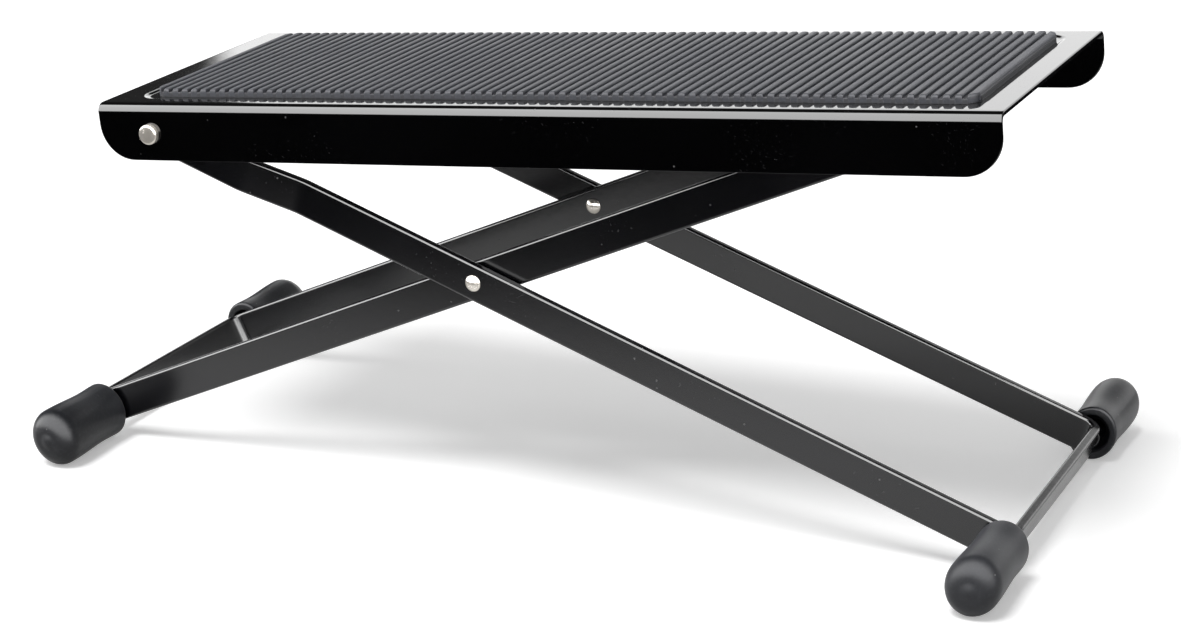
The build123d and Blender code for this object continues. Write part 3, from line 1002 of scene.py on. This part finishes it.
rod = {"radius": 3.0, "spigot": 2.3, "shoulder": 41.5, "end": 44.5, "peen": 0.35}


# Half a rod from its middle to the riveted end of its spigot, mirrored for the other half
def rodProfile(size):
    half = [(size["radius"], 0.0), (size["radius"], size["shoulder"]), (size["spigot"], size["shoulder"]),
            (size["spigot"], size["end"]), (0.0, size["end"])]
    upper = roundedProfile(half, [0.25, 0.05, size["peen"]], 4)
    return np.concatenate([(upper * [1, -1])[:0:-1], upper])


rodPiece = turnedPiece("supportRod", rodProfile(rod), rodPlace, innerAxes, 64)
finishPiece(rodPiece, steelMaterial, "inner_frame", "rod_steel", "support_rod")
print("rod made")


# Height racks keep their exact solids and take the leg enamel
for side in ("front", "back"):
    node = frame["nodes"][f"height_rack_{side}"]
    node.data.materials.clear()
    node.data.materials.append(rackMaterial)


# Camera, floor and light

camera = {
    "place": (365.65, -775.43, 335.65),
    "azimuth": 25.050,
    "elevation": 18.749,
    "roll": -1.460,
    "focalPixels": 2779.7,
    "imageWidth": 1181.0,
    "sensor": 36.0,
}


# Right, up and back directions of a camera turned by azimuth, tipped down and rolled
def cameraMatrix(size):
    a, e, roll = np.radians([size["azimuth"], size["elevation"], size["roll"]])
    right = np.array([np.cos(a), np.sin(a), 0.0])
    forward = np.array([-np.sin(a) * np.cos(e), np.cos(a) * np.cos(e), -np.sin(e)])
    up = np.cross(right, forward)
    rolledRight = np.cos(roll) * right + np.sin(roll) * up
    rolledUp = -np.sin(roll) * right + np.cos(roll) * up
    matrix = np.eye(4)
    matrix[:3, :3] = np.stack([rolledRight, rolledUp, -forward], 1)
    matrix[:3, 3] = np.array(size["place"]) * mm
    return Matrix(matrix.tolist())


cameraData = bpy.data.cameras.new("viewCamera")
cameraData.sensor_fit = "HORIZONTAL"
cameraData.sensor_width = camera["sensor"]
cameraData.lens = camera["focalPixels"] * camera["sensor"] / camera["imageWidth"]
cameraData.clip_start, cameraData.clip_end = 0.01, 50.0
cameraObject = bpy.data.objects.new("viewCamera", cameraData)
bpy.context.scene.collection.objects.link(cameraObject)
cameraObject.matrix_world = cameraMatrix(camera)
bpy.context.scene.camera = cameraObject

studio = {
    "floorHalf": 12.0,
    "floorColour": (0.94, 0.94, 0.94, 1.0),
    "whiten": 0.33,
    # the far colour, the reaches and the glow paint what reflections see of the floor: dark away from the
    # footrest, glowing near it
    "farColour": (0.012, 0.012, 0.013, 1.0),
    "reachStretch": (0.55, 1.0, 0.0),
    "brightReach": 0.13,
    "darkReach": 0.31,
    "paintedGlossGlow": 0.24,
    "keyStrength": 1.95,
    "keyAngle": 24.0,
    "keyFrom": (-0.15, -0.38, 1.0),
    "ambient": 0.36,
    "skyBand": 10.5,
    "backGlow": 2.2,
    "dim": 0.05,
    "skyFrom": (84.0, 92.0),
    "skyTo": (178.0, 170.0),
    "backTo": (26.5, 23.5),
    "backRight": (34.4, 33.6),
    "backLeft": (-60.0, -40.0),
    "horizonSoftness": 0.02,
    "fillStrength": 0.6,
    "fillAngle": 40.0,
    "fillFrom": (-1.0, -0.1, 0.75),
}


# Floor: pale and matte; a little of its own light for the camera keeps it white, and what gloss sees of it is
# painted: a glow near the footrest and dark away from it, painted reflections standing in for a small table in a
# dark studio
def floorMaterial(size):
    material = bpy.data.materials.new("floorPaper")
    material.use_nodes = True
    tree = material.node_tree
    tree.nodes.clear()
    bench = NodeBench(tree)
    place = bench.add("ShaderNodeTexCoord").outputs["Object"]
    pull = bench.add("ShaderNodeVectorMath", operation="MULTIPLY")
    bench.join(place, pull.inputs[0])
    pull.inputs[1].default_value = size["reachStretch"]
    reach = bench.add("ShaderNodeVectorMath", operation="LENGTH")
    bench.join(pull.outputs[0], reach.inputs[0])
    far = bench.ramp(reach.outputs["Value"], size["brightReach"], size["darkReach"])
    light = bench.add("ShaderNodeLightPath")
    paper = bench.add("ShaderNodeBsdfDiffuse")
    socketPut(paper, "Color", size["floorColour"])
    # painted dark reflection: away from the footrest, reflections see this dark floor instead of the paper
    dark = bench.add("ShaderNodeBsdfDiffuse")
    socketPut(dark, "Color", size["farColour"])
    glow = bench.add("ShaderNodeEmission")
    socketPut(glow, "Strength", size["whiten"])
    bench.join(light.outputs["Is Camera Ray"], glow.inputs["Color"])
    # painted glow: near the footrest the floor gives off light that only reflections see
    paintedGlossGlow = bench.add("ShaderNodeEmission")
    nearShare = bench.maths("MULTIPLY", bench.maths("SUBTRACT", 1.0, far), size["paintedGlossGlow"])
    nearSeen = bench.maths("MULTIPLY", light.outputs["Is Glossy Ray"], nearShare)
    bench.join(nearSeen, paintedGlossGlow.inputs["Strength"])
    fade = bench.add("ShaderNodeMixShader")
    bench.join(bench.maths("MULTIPLY", far, light.outputs["Is Glossy Ray"]), fade.inputs[0])
    bench.join(paper.outputs[0], fade.inputs[1])
    bench.join(dark.outputs[0], fade.inputs[2])
    both = bench.add("ShaderNodeAddShader")
    bench.join(fade.outputs[0], both.inputs[0])
    bench.join(glow.outputs[0], both.inputs[1])
    allLight = bench.add("ShaderNodeAddShader")
    bench.join(both.outputs[0], allLight.inputs[0])
    bench.join(paintedGlossGlow.outputs[0], allLight.inputs[1])
    sink = bench.add("ShaderNodeOutputMaterial")
    bench.join(allLight.outputs[0], sink.inputs["Surface"])
    return material


reachOut = studio["floorHalf"]
floorCorners = np.array([(-1, -1, 0), (1, -1, 0), (1, 1, 0), (-1, 1, 0)]) * reachOut
floor = meshPiece("floor", floorCorners, [[0, 1, 2, 3]])
floor.data.materials.append(floorMaterial(studio))


# World: white for the camera, even for matte surfaces, and for gloss a studio seen by pitch,
# the angle from the horizon behind over the top to the horizon in front
def buildWorld(size):
    world = bpy.data.worlds.new("studio")
    bpy.context.scene.world = world
    world.use_nodes = True
    tree = world.node_tree
    tree.nodes.clear()
    bench = NodeBench(tree)
    way = bench.add("ShaderNodeTexCoord").outputs["Generated"]
    parts = bench.add("ShaderNodeSeparateXYZ")
    bench.join(way, parts.inputs[0])
    x, y, z = parts.outputs
    pitch = bench.maths("ARCTAN2", z, y)
    heading = bench.maths("ARCTAN2", bench.maths("MULTIPLY", x, -1.0), y)

    # nought to one between two angles given in degrees
    def fromTo(angle, limits):
        return bench.ramp(angle, *np.radians(limits).tolist())

    sky = bench.maths("MULTIPLY", fromTo(pitch, size["skyFrom"]), fromTo(pitch, size["skyTo"]))
    back = bench.maths("MULTIPLY", fromTo(pitch, size["backTo"]), fromTo(heading, size["backRight"]))
    back = bench.maths("MULTIPLY", back, fromTo(heading, size["backLeft"]))
    soft = size["horizonSoftness"]
    back = bench.maths("MULTIPLY", back, bench.ramp(z, -soft, soft))
    skyLight = bench.maths("MULTIPLY", sky, size["skyBand"])
    strength = bench.maths("ADD", skyLight, bench.maths("MULTIPLY", back, size["backGlow"]))
    strength = bench.maths("ADD", strength, size["dim"])
    light = bench.add("ShaderNodeLightPath")
    gloss = bench.maths("MULTIPLY", light.outputs["Is Glossy Ray"], strength)
    seen = light.outputs["Is Camera Ray"]
    either = bench.maths("ADD", seen, light.outputs["Is Glossy Ray"], clamp=True)
    plain = bench.maths("SUBTRACT", 1.0, either)
    matte = bench.maths("MULTIPLY", plain, size["ambient"])
    total = bench.maths("ADD", bench.maths("ADD", gloss, seen), matte)
    background = bench.add("ShaderNodeBackground")
    socketPut(background, "Color", (1.0, 1.0, 1.0, 1.0))
    bench.join(total, background.inputs["Strength"])
    sink = bench.add("ShaderNodeOutputWorld")
    bench.join(background.outputs[0], sink.inputs["Surface"])


buildWorld(studio)


# A broad sun from one side, given as the direction it comes from; gloss sees the world instead
def addSun(name, strength, spread, comesFrom):
    data = bpy.data.lights.new(name, "SUN")
    data.energy = strength
    data.angle = np.radians(spread)
    sun = bpy.data.objects.new(name, data)
    bpy.context.scene.collection.objects.link(sun)
    way = np.array(comesFrom) / np.linalg.norm(comesFrom)
    across = np.cross([0, 1, 0], way)
    across /= np.linalg.norm(across)
    turn = np.eye(4)
    turn[:3, :3] = np.stack([across, np.cross(way, across), way], 1)
    sun.matrix_world = Matrix(turn.tolist())
    sun.visible_glossy = False


addSun("keyLight", studio["keyStrength"], studio["keyAngle"], studio["keyFrom"])
addSun("fillLight", studio["fillStrength"], studio["fillAngle"], studio["fillFrom"])

bpy.context.scene.view_settings.view_transform = "Standard"
print("camera and light made")
